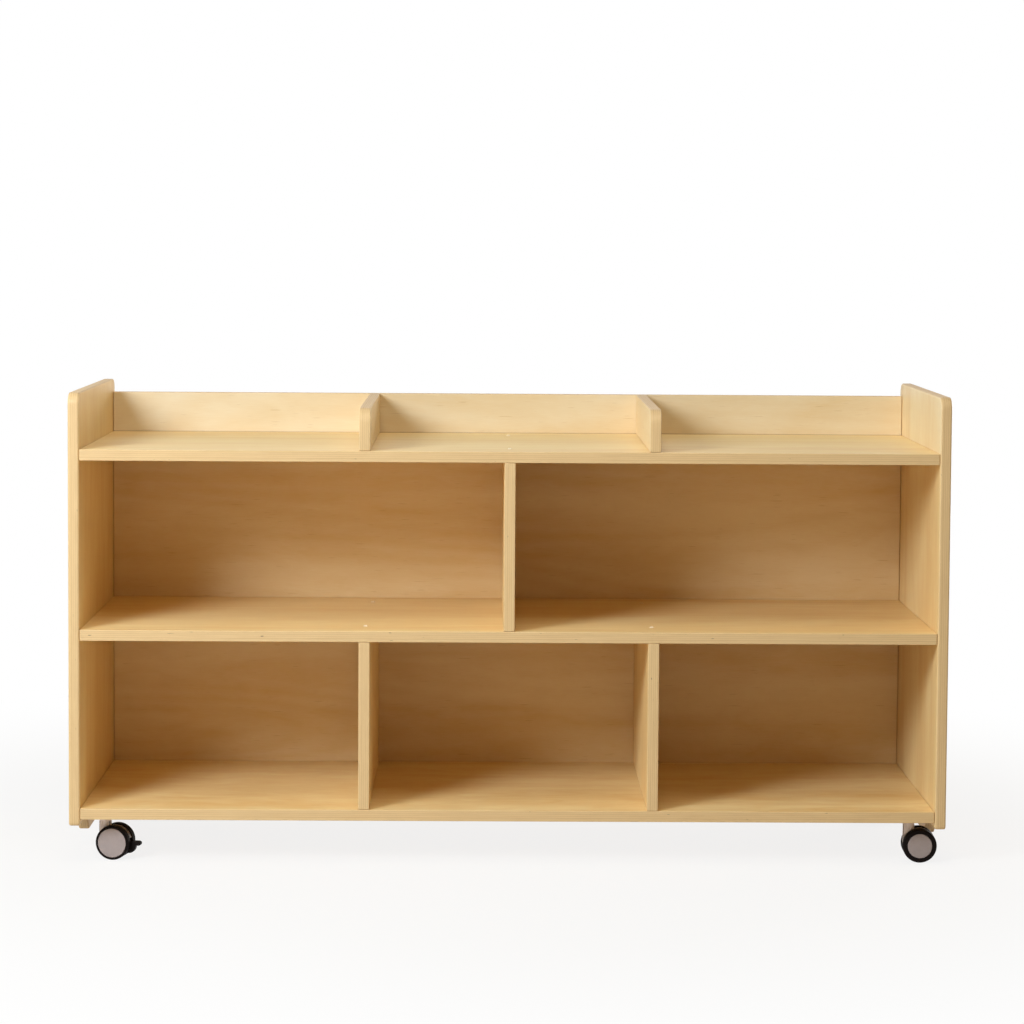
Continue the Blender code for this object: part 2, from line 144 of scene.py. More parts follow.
NECK_ROUND_STEPS = 5
NECK_FOOT = 0.007  # lower end of the round neck, above the axle
WHEEL_ROOM = 0.0008  # round the wheels, where they cut into the neck
NECK_ROOT = 0.0038  # the web under the neck, above that room
WEB_STEP = 0.00005  # the neck's web lies this far inside the hood's faces
HOOD_STEP = 0.0012  # the hood's rim inside the tyre's
HOOD_SIDE_GAP = 0.0007
HOOD_EASE = 0.0008
HOOD_REAR = math.radians(14)
HOOD_STEPS = 40
HOOD_NOSE = 0.003
BOSS_RADIUS = 0.0070
BOSS_ARC = (math.radians(230), math.radians(320))
BOSS_STEPS = 16
COLLAR_GAP = 0.0003
STEM_RADIUS = 0.0040
STEM_REACH = 0.0120
STEM_IN_NECK = 0.0110
CHEEK_RADIUS = 0.0045
CHEEK_ARC = (math.radians(-120), math.radians(75))
CHEEK_STEPS = 20
CHEEK_GAP = 0.0005
PIN_RADIUS = 0.0015
PIN_END = 0.0002
LUG_HALF = 0.0017
LUG_RADIUS = 0.0042
LUG_ARC = (math.radians(70), math.radians(290))
LUG_STEPS = 24
LUG_ROOT_ARC = (math.radians(-40), math.radians(40))
LUG_ROOT_STEPS = 8
FORK_FIT = 0.0003
PEDAL_SIDE_GAP = 0.0010
PEDAL_EASE = 0.0009
TONGUE_TOP = 0.0044  # above the pin
TONGUE_THICKNESS = 0.0062
TONGUE_REACH = 0.0237  # beyond the pin
TONGUE_STEPS = 16
LOBE_RADIUS = 0.0095  # the belly under the tongue
LOBE_BACK = 0.0068
LOBE_DOWN = 0.0030
LOBE_START = math.radians(-110)
LOBE_STEPS = 32
PEDAL_HEEL = math.radians(-62)
HEEL_STEPS = 16
CASTERS = ("front_left", "front_right", "rear_left", "rear_right")

QUARTER = math.pi / 2


# Meshes from grids


def grid_quads(rows, columns, wrap_rows=False):
    """Corner numbers of the quads of a grid whose columns close into loops. Row i, column j is
    i * columns + j, and each quad runs to the next column, the next row and back."""
    i = np.arange(rows if wrap_rows else rows - 1)[:, None]
    j = np.arange(columns)[None, :]
    ahead = (j + 1) % columns
    above = (i + 1) % rows
    row, next_row = i * columns, above * columns
    corners = np.broadcast_arrays(row + j, row + ahead, next_row + ahead, next_row + j)
    return np.stack(corners, axis=-1).reshape(-1, 4)


def piece_from_rings(name, rings, closed=False, masks=None, sheet=False):
    """An object from rings of points, an array of (ring, point, xyz). Neighbouring rings are joined by quads.
    The first and last ring are capped by flat faces, or joined to each other where the shape is closed. A
    sheet has no cap on its first ring. masks are values for each ring, kept as attributes."""
    rings = np.asarray(rings, dtype=float)
    count, around = rings.shape[:2]
    faces = grid_quads(count, around, wrap_rows=closed).tolist()
    if not closed:
        faces.append(list(range((count - 1) * around, count * around)))
        if not sheet:
            faces.append(list(range(around))[::-1])
    mesh = bpy.data.meshes.new(name)
    mesh.from_pydata(rings.reshape(-1, 3), [], faces)
    for mask, values in (masks or {}).items():
        attribute = mesh.attributes.new(mask, "FLOAT", "POINT")
        attribute.data.foreach_set("value", np.repeat(np.asarray(values, dtype=np.float32), around))
    piece = bpy.data.objects.new(name, mesh)
    bpy.context.scene.collection.objects.link(piece)
    smooth(piece)
    return piece


def smooth(piece):
    """Smooth shading, apart from creases and the large flat faces, which stay flat up to their borders."""
    mesh = piece.data
    mesh.shade_smooth()
    mesh.set_sharp_from_angle(angle=CREASE)
    area = np.empty(len(mesh.polygons), dtype=np.float32)
    mesh.polygons.foreach_get("area", area)
    mesh.polygons.foreach_set("use_smooth", area < FLAT_AREA)


def combine(piece, tool, operation):
    """Joins a tool to a piece, or cuts it out, and keeps the result as the piece's mesh."""
    modifier = piece.modifiers.new(operation, "BOOLEAN")
    modifier.operation = operation
    modifier.solver = "EXACT"
    modifier.object = tool
    evaluated = piece.evaluated_get(bpy.context.evaluated_depsgraph_get())
    piece.modifiers.clear()
    piece.data = bpy.data.meshes.new_from_object(evaluated)
    bpy.data.objects.remove(tool)
    smooth(piece)


def arc(centre, radius, start, end, steps):
    """Points on a circle from one angle to another, both ends included."""
    angle = np.linspace(start, end, steps + 1)
    return np.column_stack((centre[0] + radius * np.cos(angle), centre[1] + radius * np.sin(angle)))


def rounded_outline(corners):
    """Points and outward normals of a closed outline, counter-clockwise, whose corners, ((u, v), radius), are
    rounded by arcs tangent to both sides. A point's normal is the arc's radius, turned round on a hollow
    corner."""
    places = [np.array(corner, dtype=float) for corner, _ in corners]
    points, normals = [], []
    for i, (_, radius) in enumerate(corners):
        corner = places[i]
        back = places[i - 1] - corner
        ahead = places[(i + 1) % len(places)] - corner
        back = back / np.linalg.norm(back)
        ahead = ahead / np.linalg.norm(ahead)
        half = math.acos(np.clip(back @ ahead, -1, 1)) / 2
        middle = (back + ahead) / np.linalg.norm(back + ahead)
        centre = corner + middle * radius / math.sin(half)
        first = corner + back * radius / math.tan(half) - centre
        bend = math.copysign(1, ahead[0] * back[1] - ahead[1] * back[0])
        start = math.atan2(first[1], first[0])
        stretch = arc(centre, radius, start, start + bend * (math.pi - 2 * half), CORNER_STEPS)
        points.append(stretch)
        normals.append(bend * (stretch - centre) / radius)
    return np.concatenate(points), np.concatenate(normals)


def outline_normals(points):
    """Outward normals of a closed outline, counter-clockwise: the chord between each point's neighbours,
    turned by a right angle."""
    chord = np.roll(points, -1, axis=0) - np.roll(points, 1, axis=0)
    normals = np.column_stack((chord[:, 1], -chord[:, 0]))
    return normals / np.linalg.norm(normals, axis=1, keepdims=True)


def slab_rings(points, normals, half, ease, margin=0.0):
    """Rings of a slab with quarter-round arrises, as (ring, point, (u, v, height)) with a mask value a ring.
    A ring at angle a of an arris lies ease * (1 - cos a) inside the outline, at ease * (1 - sin a) below the
    face. The mask is 1 on the slab's edge and 0 on its faces. A margin adds a ring on each face, that far
    in from the arris."""
    angle = np.linspace(0, QUARTER, EASE_STEPS + 1)
    inset = ease * (1 - np.cos(angle))
    height = half - ease * (1 - np.sin(angle))
    edge = np.cos(angle)
    if margin:
        inset = np.append(inset, ease + margin)
        height = np.append(height, half)
        edge = np.append(edge, 0)
    inset = np.concatenate((inset[::-1], inset))
    height = np.concatenate((-height[::-1], height))
    edge = np.concatenate((edge[::-1], edge))
    plan = points[None] - normals[None] * inset[:, None, None]
    rings = np.concatenate((plan, np.broadcast_to(height[:, None, None], plan.shape[:2] + (1,))), axis=2)
    return rings, edge


def turned_rings(profile, sides=ROUND):
    """Rings of a turned shape: each (radius, height) of the profile goes round the axis, so a point is
    (radius * cos t, radius * sin t, height). Heights rise along the profile on an outer wall."""
    profile = np.asarray(profile, dtype=float)
    t = np.linspace(0, 2 * math.pi, sides, endpoint=False)
    ring = np.stack((np.cos(t), np.sin(t)), axis=1)
    plan = profile[:, None, :1] * ring[None]
    return np.concatenate((plan, np.broadcast_to(profile[:, None, 1:], plan.shape[:2] + (1,))), axis=2)


def keep(piece, node, body, material):
    """The piece stands for a node: it takes its place, its body and a finish."""
    piece.data.materials.clear()
    piece.data.materials.append(material)
    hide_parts(node)
    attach(piece, body)


# Shared effects


VECTOR, COLOUR, NUMBER = "NodeSocketVector", "NodeSocketColor", "NodeSocketFloat"
SURFACE = {"Color": COLOUR, "Roughness": NUMBER, "Height": NUMBER}  # what every effect puts out

# Numbers of the mix node's sockets: the factor and both ends, for numbers and for colours
NUMBER_SOCKETS = (0, 2, 3)
COLOUR_SOCKETS = (0, 6, 7)
COLOUR_RESULT = 2


def new_group(name, inputs):
    """An empty node group with its sockets, and its input and output nodes."""
    group = bpy.data.node_groups.new(name, "ShaderNodeTree")
    for way, sockets in (("INPUT", inputs), ("OUTPUT", SURFACE)):
        for socket, kind in sockets.items():
            group.interface.new_socket(socket, in_out=way, socket_type=kind)
    return group, group.nodes.new("NodeGroupInput"), group.nodes.new("NodeGroupOutput")


class Wiring:
    """Short calls that add nodes to a tree and link them. A value may be a number, a tuple or a socket."""

    def __init__(self, tree):
        self.tree = tree

    def put(self, socket, value):
        """Gives an input its value or its link."""
        if isinstance(value, bpy.types.NodeSocket):
            self.tree.links.new(value, socket)
        else:
            socket.default_value = value

    def node(self, kind, settings=None, **values):
        """A node with its settings and its inputs, where _ stands for a space in an input's name."""
        node = self.tree.nodes.new(kind)
        for name, value in (settings or {}).items():
            setattr(node, name, value)
        for name, value in values.items():
            self.put(node.inputs[name.replace("_", " ")], value)
        return node

    def math(self, operation, a, b=0.0, clamp=False):
        """One step of arithmetic, held between 0 and 1 where it is clamped."""
        node = self.tree.nodes.new("ShaderNodeMath")
        node.operation = operation
        node.use_clamp = clamp
        self.put(node.inputs[0], a)
        self.put(node.inputs[1], b)
        return node.outputs[0]

    def times(self, a, b):
        """The product of two numbers."""
        return self.math("MULTIPLY", a, b)

    def swing(self, value, middle, share, clamp=False):
        """What a value differs from its middle by, times a share."""
        return self.math("MULTIPLY", self.math("SUBTRACT", value, middle), share, clamp)

    def stretch(self, vector, scale):
        """A vector, times a scale for each axis."""
        node = self.tree.nodes.new("ShaderNodeVectorMath")
        node.operation = "MULTIPLY"
        self.put(node.inputs[0], vector)
        node.inputs[1].default_value = scale
        return node.outputs[0]

    def noise(self, vector, scale, detail=2.0, roughness=0.5, distortion=0.0):
        """Noise with features of 1 / scale metres along each axis."""
        node = self.node("ShaderNodeTexNoise", Vector=self.stretch(vector, scale), Scale=1.0, Detail=detail,
                         Roughness=roughness, Distortion=distortion)
        return node.outputs["Fac"]

    def ramp(self, value, low, high, start=0.0, end=1.0):
        """start below low, end above high and a smooth slope between."""
        node = self.node("ShaderNodeMapRange", {"interpolation_type": "SMOOTHSTEP"}, Value=value,
                         From_Min=low, From_Max=high, To_Min=start, To_Max=end)
        return node.outputs["Result"]

    def mix(self, factor, a, b, blend="MIX"):
        """A colour from a to b."""
        node = self.node("ShaderNodeMix", {"data_type": "RGBA", "blend_type": blend})
        for number, value in zip(COLOUR_SOCKETS, (factor, a, b)):
            self.put(node.inputs[number], value)
        return node.outputs[COLOUR_RESULT]

    def between(self, factor, a, b):
        """A number from a to b."""
        node = self.node("ShaderNodeMix", {"data_type": "FLOAT"})
        for number, value in zip(NUMBER_SOCKETS, (factor, a, b)):
            self.put(node.inputs[number], value)
        return node.outputs[0]


# Birch veneer: features a metre along the grain, across it and through the board
BANDS = (0.9, 9.0, 9.0)
HILLS = (0.7, 5.0, 5.0)
CURLS = (11.0, 30.0, 30.0)
FIBRES = (55.0, 1100.0, 1100.0)
FLECKS = (32.0, 520.0, 520.0)
GROWTH_LINES = 14.0  # round the hills, one at each of so many levels
BAND_RANGE = (0.34, 0.66)
FLECK_RANGE = (0.70, 0.78)
BAND_SHARE = 0.55  # of the figure
GROWTH_SHARE = 0.22
FIBRE_SHARE = 0.5
FLECK_SHARE = 0.35
FLECK_TONE = (0.62, 0.45, 0.30, 1)
VENEER_ROUGHNESS = 0.40
FIBRE_ROUGHNESS = 0.16  # added on the fibres

# Ply edge: features a metre along the edge's two axes and through the board
WANDERS = (7.0, 7.0, 7.0)
STREAKS = (22.0, 22.0, 520.0)
PORES = (900.0, 900.0, 900.0)
OPEN_SPOTS = (75.0, 75.0, 420.0)
WANDER = 0.5  # of a ply's thickness
GLUE_RANGE = (0.36, 0.5)  # from a ply's middle, in plies
SPOT_RANGE = (0.74, 0.80)
END_TONE = 0.07  # least share of the end grain's tone
END_SPREAD = 0.40
STREAK_SHARE = 0.7
STREAK_MIDDLE = 0.4
PORE_SHARE = 0.25
GLUE_SHARE = 0.24
GLUE_TONE = (0.36, 0.20, 0.09, 1)
SPOT_SHARE = 0.75
SPOT_TONE = (0.10, 0.05, 0.025, 1)
EDGE_ROUGHNESS = 0.46
END_ROUGHNESS = 0.16  # added on the end grain
PORE_HEIGHT = 0.4

# Moulded skin: features a metre
SKIN = (1600.0, 1600.0, 1600.0)
CLOUDS = (90.0, 90.0, 90.0)
DUST_SPECKS = (260.0, 260.0, 260.0)
DUST_RANGE = (0.45, 0.8)
CLOUD_START = 0.3  # where the clouds start to darken
CLOUD_SHADE = 0.25
CLOUD_GLOSS = 0.18
DUST_ROUGHNESS = 0.4
BLACK = (0.0, 0.0, 0.0, 1)
WHITE = (1, 1, 1, 1)


def veneer_group():
    """Rotary-cut birch face: long wavy bands, growth lines, a cloudy curl, fine fibres and short dark flecks.
    The vector runs along the grain, across it and through the board, in metres. A growth line is where a slow
    noise, times their number, passes a whole number."""
    inputs = {"Vector": VECTOR, "Light": COLOUR, "Dark": COLOUR, "Curl": NUMBER}
    group, given, out = new_group("birch_veneer", inputs)
    wire = Wiring(group)
    at = given.outputs["Vector"]
    bands = wire.noise(at, BANDS, detail=3, roughness=0.55, distortion=0.8)
    hills = wire.noise(at, HILLS, detail=1.5, distortion=0.5)
    lines = wire.math("FRACT", wire.times(hills, GROWTH_LINES))
    lines = wire.math("ABSOLUTE", wire.math("SUBTRACT", wire.times(lines, 2.0), 1.0))
    curl = wire.noise(at, CURLS, detail=2, roughness=0.6, distortion=1.2)
    fibre = wire.noise(at, FIBRES, detail=2, roughness=0.6)
    fleck = wire.ramp(wire.noise(at, FLECKS, detail=1, roughness=0.4), *FLECK_RANGE)
    figure = wire.times(wire.ramp(bands, *BAND_RANGE), BAND_SHARE)
    figure = wire.math("ADD", figure, wire.times(lines, GROWTH_SHARE))
    figure = wire.math("ADD", figure, wire.swing(curl, 0.5, given.outputs["Curl"]))
    figure = wire.math("ADD", figure, wire.swing(fibre, 0.5, FIBRE_SHARE), clamp=True)
    colour = wire.mix(figure, given.outputs["Light"], given.outputs["Dark"])
    shade = wire.mix(wire.times(fleck, FLECK_SHARE), WHITE, FLECK_TONE)
    wire.put(out.inputs["Color"], wire.mix(1.0, colour, shade, "MULTIPLY"))
    wire.put(out.inputs["Roughness"], wire.math("ADD", VENEER_ROUGHNESS, wire.times(fibre, FIBRE_ROUGHNESS)))
    wire.put(out.inputs["Height"], wire.math("SUBTRACT", fibre, fleck))
    return group


def edge_group(plies):
    """A plywood edge: plies that turn by turn show long grain and end grain, each a little different, with
    thin dark glue lines and a few short open spots. Through is 0 on one face of the board and 1 on the
    other."""
    inputs = {"Vector": VECTOR, "Through": NUMBER, "Long": COLOUR, "End": COLOUR}
    group, given, out = new_group("ply_edge", inputs)
    wire = Wiring(group)
    at = given.outputs["Vector"]
    wander = wire.swing(wire.noise(at, WANDERS, detail=2), 0.5, WANDER)
    level = wire.math("ADD", wire.times(given.outputs["Through"], float(plies)), wander)
    ply = wire.math("FLOOR", level)
    end = wire.math("MODULO", wire.math("ABSOLUTE", ply), 2.0)
    own = wire.node("ShaderNodeTexWhiteNoise", {"noise_dimensions": "1D"}, W=ply).outputs["Value"]
    from_middle = wire.math("ABSOLUTE", wire.math("SUBTRACT", wire.math("FRACT", level), 0.5))
    glue = wire.ramp(from_middle, *GLUE_RANGE)
    streak = wire.noise(at, STREAKS, detail=3, roughness=0.6)
    pores = wire.noise(at, PORES, detail=1)
    open_spot = wire.times(wire.ramp(wire.noise(at, OPEN_SPOTS, detail=1), *SPOT_RANGE), end)
    tone = wire.times(end, wire.math("ADD", END_TONE, wire.times(own, END_SPREAD)))
    tone = wire.math("ADD", tone, wire.swing(streak, STREAK_MIDDLE, STREAK_SHARE))
    tone = wire.math("ADD", tone, wire.swing(pores, 0.5, PORE_SHARE), clamp=True)
    colour = wire.mix(tone, given.outputs["Long"], given.outputs["End"])
    colour = wire.mix(wire.times(glue, wire.times(own, GLUE_SHARE)), colour, GLUE_TONE)
    colour = wire.mix(wire.times(open_spot, SPOT_SHARE), colour, SPOT_TONE)
    wire.put(out.inputs["Color"], colour)
    wire.put(out.inputs["Roughness"], wire.math("ADD", EDGE_ROUGHNESS, wire.times(tone, END_ROUGHNESS)))
    hollow = wire.math("ADD", glue, open_spot)
    wire.put(out.inputs["Height"], wire.math("SUBTRACT", wire.times(pores, PORE_HEIGHT), hollow))
    return group


def moulded_group():
    """Moulded plastic or rubber: a fine grain in the surface, uneven gloss and a little pale dust."""
    inputs = {"Vector": VECTOR, "Base": COLOUR, "Dust": COLOUR, "Dustiness": NUMBER, "Gloss": NUMBER}
    group, given, out = new_group("moulded_skin", inputs)
    wire = Wiring(group)
    at = given.outputs["Vector"]
    skin = wire.noise(at, SKIN, detail=2, roughness=0.6)
    cloud = wire.noise(at, CLOUDS, detail=4, roughness=0.65)
    specks = wire.ramp(wire.noise(at, DUST_SPECKS, detail=5, roughness=0.7), *DUST_RANGE)
    dust = wire.times(specks, given.outputs["Dustiness"])
    tone = wire.mix(wire.swing(cloud, CLOUD_START, CLOUD_SHADE, clamp=True), given.outputs["Base"], BLACK)
    wire.put(out.inputs["Color"], wire.mix(dust, tone, given.outputs["Dust"]))
    rough = wire.math("ADD", given.outputs["Gloss"], wire.swing(cloud, 0.5, CLOUD_GLOSS))
    wire.put(out.inputs["Roughness"], wire.math("ADD", rough, wire.times(dust, DUST_ROUGHNESS), clamp=True))
    wire.put(out.inputs["Height"], skin)
    return group


# Finishes

# Lighter and darker tone of the veneer, and of a ply's long grain and end grain
BIRCH = ((0.91, 0.68, 0.335, 1), (0.80, 0.51, 0.195, 1))
BIRCH_OF_BACK = ((0.84, 0.63, 0.345, 1), (0.73, 0.47, 0.19, 1))
# Painted light: lighter tones for the back panel and the right side panel above the top shelf, inside the
# tray
BIRCH_PAINTED_LIT_TRAY_BACK = ((0.79, 0.655, 0.435, 1), (0.70, 0.50, 0.25, 1))
# Painted light: the tray dividers are painted paler, for the strong light that falls on them
BIRCH_OF_TRAY = ((0.91, 0.71, 0.41, 1), (0.80, 0.54, 0.25, 1))
BIRCH_PAINTED_LIT_TRAY_RIGHT = ((0.95, 0.78, 0.48, 1), (0.85, 0.61, 0.31, 1))
TRAY_PAINTED_LIGHT_TONES = {"back_panel": BIRCH_PAINTED_LIT_TRAY_BACK, "side_panel_right": BIRCH_PAINTED_LIT_TRAY_RIGHT}
# Each board's own tone, apart from the tray dividers, whose paler tone is painted light
TONES = {
    "back_panel": BIRCH_OF_BACK,
    "tray_divider_left": BIRCH_OF_TRAY,
    "tray_divider_right": BIRCH_OF_TRAY,
}
PLY_LONG = (0.735, 0.50, 0.242, 1)
PLY_END = (0.55, 0.325, 0.136, 1)
PLIES = 11
# Painted shade: a dark line on the back panel where the tray's floor meets it, the shade in that crease
JOINT_PAINTED_SHADE = (0.22, 0.11, 0.045, 1)
JOINT_PAINTED_SHADE_SHARE = 0.5
JOINT_PAINTED_SHADE_RANGE = (0.4 * JOINT_LINE, 0.8 * JOINT_LINE)  # where the painted shade line fades out
ARRIS_PAINTED_HIGHLIGHT = (0.85, 0.63, 0.36, 1)  # painted highlight: the arrises are painted lighter
ARRIS_PAINTED_HIGHLIGHT_SHARE = 0.2
CURLY = {"bottom_shelf": 1.4}
PLAIN_CURL = 0.6
PATTERN_ALONG = 3.1  # from one board's place in the veneer to the next
PATTERN_ACROSS = 1.7
EDGE_RANGE = (0.35, 0.75)  # of the edge mask, where the veneer turns into plies
WOOD_BUMP = (0.25, 0.0002)  # strength, and depth in metres
LACQUER = {"Specular IOR Level": 0.3, "Coat Weight": 0.08, "Coat Roughness": 0.3}

# Moulded finishes: tone, tone and share of the dust, gloss, strength of the grain and specular level
BLACK_DUST = (0.10, 0.07, 0.05, 1)
MOULDED = {
    "grey_cap": ((0.365, 0.287, 0.258, 1), (0.5, 0.46, 0.42, 1), 0.08, 0.38, 0.15, 0.5),
    "black_plastic": ((0.008, 0.005, 0.004, 1), BLACK_DUST, 0.04, 0.4, 0.2, 0.08),
    "rubber": ((0.007, 0.004, 0.003, 1), BLACK_DUST, 0.04, 0.6, 0.3, 0.07),
}
# Housing: a dark brown hood as painted shade between the wheels and under the shelf, and a pale neck, partly
# its own colour and partly painted light
HOOD_PAINTED_SHADE_PLASTIC = ((0.13, 0.088, 0.065, 1), (0.5, 0.44, 0.38, 1), 0.06, 0.42, 0.2, 0.5)
NECK_PAINTED_LIGHT_TONE = (0.85, 0.73, 0.70, 1)
HOOD_PAINTED_SHADE_START = (0.0080, 0.0084)  # from the swivel axis, where the pale neck, partly painted light, turns into the dark hood, painted shade
SKIN_DEPTH = 0.0001

# Metals: tone, roughness and metallic share
STEEL = ((0.60, 0.59, 0.58, 1), 0.28, 1.0)
ZINC = ((1.0, 0.80, 0.54, 1), 0.35, 0.05)
SCRATCHES = (2600.0, 400.0, 400.0)  # a metre
PATCHES = (350.0, 350.0, 350.0)
PATCH_RANGE = (0.35, 0.75)
PATCH_SHADE = 0.7
SCRATCH_ROUGHNESS = 0.2
SCRATCH_BUMP = (0.15, 0.00005)


def new_finish(name):
    """An empty material with its shader, and the wiring of its tree."""
    material = bpy.data.materials.new(name)
    material.use_nodes = True
    return material, material.node_tree.nodes["Principled BSDF"], Wiring(material.node_tree)


def group_node(wire, group):
    """A shared effect, placed in a material."""
    node = wire.tree.nodes.new("ShaderNodeGroup")
    node.node_tree = group
    return node


def bump(wire, shader, height, strength, distance):
    """Small hills and hollows on a shader's surface."""
    node = wire.node("ShaderNodeBump", Height=height, Strength=strength, Distance=distance)
    wire.put(shader.inputs["Normal"], node.outputs["Normal"])


def tray_painted_light_and_shade_masks(wire, at, level):
    """Two masks on the half of a board that faces the tray: its part above the tray's floor, where lighter
    tones are painted in as painted light, and the line where the floor meets it, where painted shade goes."""
    height = wire.node("ShaderNodeSeparateXYZ", Vector=at).outputs["Z"]
    above = wire.math("SUBTRACT", height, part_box("top_shelf")[1][Z] + JOINT_LINE / 2)
    front = wire.math("LESS_THAN", level, 0.5)
    upper = wire.times(wire.math("GREATER_THAN", above, 0.0), front)
    off_line = wire.ramp(wire.math("ABSOLUTE", above), *JOINT_PAINTED_SHADE_RANGE)
    return upper, wire.times(wire.math("SUBTRACT", 1.0, off_line), front)


def birch_finish(node, number, thin, grain, veneer, edge):
    """One board's birch: the veneer on its faces and the plies on its edges, parted by the edge mask. The
    pattern turns with the board's grain and starts at a place of its own."""
    low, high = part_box(node)
    along = Vector([float(axis == grain) for axis in (X, Y, Z)])
    through = Vector([float(axis == thin) for axis in (X, Y, Z)])
    turn = Matrix((along, through.cross(along), through))
    centre = turn @ ((low + high) / 2)
    material, shader, wire = new_finish(f"birch_{node}")
    at = wire.node("ShaderNodeTexCoord").outputs["Object"]
    offset = Vector((PATTERN_ALONG * number, PATTERN_ACROSS * number, 0.0))
    place = wire.node("ShaderNodeMapping", Vector=at, Rotation=tuple(turn.to_euler()),
                      Location=tuple(-centre + offset))
    vector = place.outputs["Vector"]
    depth = wire.node("ShaderNodeSeparateXYZ", Vector=vector).outputs["Z"]
    thickness = (high - low)[thin]
    level = wire.math("ADD", wire.times(depth, 1 / thickness), 0.5)
    face = group_node(wire, veneer)
    wire.put(face.inputs["Vector"], vector)
    light, dark = TONES.get(node, BIRCH)
    # Painted light: above the tray's floor, on its tray side, the board takes lighter tones
    if node in TRAY_PAINTED_LIGHT_TONES:
        upper, line = tray_painted_light_and_shade_masks(wire, at, level)
        light, dark = (wire.mix(upper, *tones) for tones in zip((light, dark), TRAY_PAINTED_LIGHT_TONES[node]))
    wire.put(face.inputs["Light"], light)
    wire.put(face.inputs["Dark"], dark)
    wire.put(face.inputs["Curl"], CURLY.get(node, PLAIN_CURL))
    rim = group_node(wire, edge)
    wire.put(rim.inputs["Vector"], vector)
    wire.put(rim.inputs["Through"], level)
    wire.put(rim.inputs["Long"], PLY_LONG)
    wire.put(rim.inputs["End"], PLY_END)
    edge_mask = wire.node("ShaderNodeAttribute", {"attribute_name": "edge"}).outputs["Fac"]
    mask = wire.ramp(edge_mask, *EDGE_RANGE)
    colour = wire.mix(mask, face.outputs["Color"], rim.outputs["Color"])
    # Painted highlight: lighter along the middle of every arris
    arris = wire.times(edge_mask, wire.math("SUBTRACT", 1.0, edge_mask))
    colour = wire.mix(wire.times(arris, ARRIS_PAINTED_HIGHLIGHT_SHARE), colour, ARRIS_PAINTED_HIGHLIGHT)
    # painted shade along the crease at the tray's floor
    if node == "back_panel":
        colour = wire.mix(wire.times(line, JOINT_PAINTED_SHADE_SHARE), colour, JOINT_PAINTED_SHADE)
    wire.put(shader.inputs["Base Color"], colour)
    roughness = wire.between(mask, face.outputs["Roughness"], rim.outputs["Roughness"])
    wire.put(shader.inputs["Roughness"], roughness)
    height = wire.between(mask, face.outputs["Height"], rim.outputs["Height"])
    bump(wire, shader, height, *WOOD_BUMP)
    for socket, value in LACQUER.items():
        shader.inputs[socket].default_value = value
    return material


def moulded_finish(name, skin, base, dust, dustiness, gloss, grain, specular, neck=None):
    """Moulded plastic or rubber of one tone, or with a pale neck round the swivel axis through a point: the
    neck is partly its own colour and partly painted light, and the base round it, the hood, is painted shade.
    """
    material, shader, wire = new_finish(name)
    shader.inputs["Specular IOR Level"].default_value = specular
    group = group_node(wire, skin)
    at = wire.node("ShaderNodeTexCoord").outputs["Object"]
    wire.put(group.inputs["Vector"], at)
    if neck is not None:
        from_axis = wire.node("ShaderNodeMapping", Vector=at, Location=(-neck[0], -neck[1], 0.0),
                              Scale=(1.0, 1.0, 0.0))
        reach = wire.node("ShaderNodeVectorMath", {"operation": "LENGTH"})
        wire.put(reach.inputs[0], from_axis.outputs["Vector"])
        base = wire.mix(wire.ramp(reach.outputs["Value"], *HOOD_PAINTED_SHADE_START), NECK_PAINTED_LIGHT_TONE, base)
    for socket, value in (("Base", base), ("Dust", dust), ("Dustiness", dustiness), ("Gloss", gloss)):
        wire.put(group.inputs[socket], value)
    wire.put(shader.inputs["Base Color"], group.outputs["Color"])
    wire.put(shader.inputs["Roughness"], group.outputs["Roughness"])
    bump(wire, shader, group.outputs["Height"], grain, SKIN_DEPTH)
    return material


def metal_finish(name, base, roughness, metallic):
    """Drawn or plated metal: fine scratches and a patchy gloss."""
    material, shader, wire = new_finish(name)
    at = wire.node("ShaderNodeTexCoord").outputs["Object"]
    scratch = wire.noise(at, SCRATCHES, detail=2, roughness=0.6)
    patch = wire.noise(at, PATCHES, detail=3, roughness=0.6)
    dull = tuple(PATCH_SHADE * part for part in base[:3]) + (1,)
    wire.put(shader.inputs["Base Color"], wire.mix(wire.ramp(patch, *PATCH_RANGE), base, dull))
    wire.put(shader.inputs["Roughness"], wire.math("ADD", roughness, wire.times(scratch, SCRATCH_ROUGHNESS)))
    bump(wire, shader, scratch, *SCRATCH_BUMP)
    shader.inputs["Metallic"].default_value = metallic
    return material


# Boards


def side_outline(low, high):
    """A side panel's outline in YZ, with its skirt between the casters."""
    y = high[Y]
    shoulder = low[Z] + SKIRT_DROP
    skirt_end = y - SKIRT_FROM_EDGE
    half = [
        ((skirt_end, low[Z]), SKIRT_CORNER),
        ((skirt_end + SKIRT_DROP, shoulder), SKIRT_CORNER),
        ((y, shoulder), SIDE_BOTTOM_CORNER),
        ((y, high[Z]), SIDE_TOP_CORNER),
    ]
    other = [((low[Y] + y - across, up), radius) for (across, up), radius in reversed(half)]
    return rounded_outline(half + other)


def board_outline(node, low, high, u, v):
    """A board's outline: a rectangle with rounded corners, the largest at a tray divider's upper front."""
    corners = ((low[u], low[v]), (high[u], low[v]), (high[u], high[v]), (low[u], high[v]))
    radii = [SHELF_CORNER if node.endswith("_shelf") else BOARD_CORNER] * 4
    if node.startswith("tray_divider"):
        radii[UPPER_FRONT] = TRAY_DIVIDER_CORNER
    return rounded_outline(list(zip(corners, radii)))


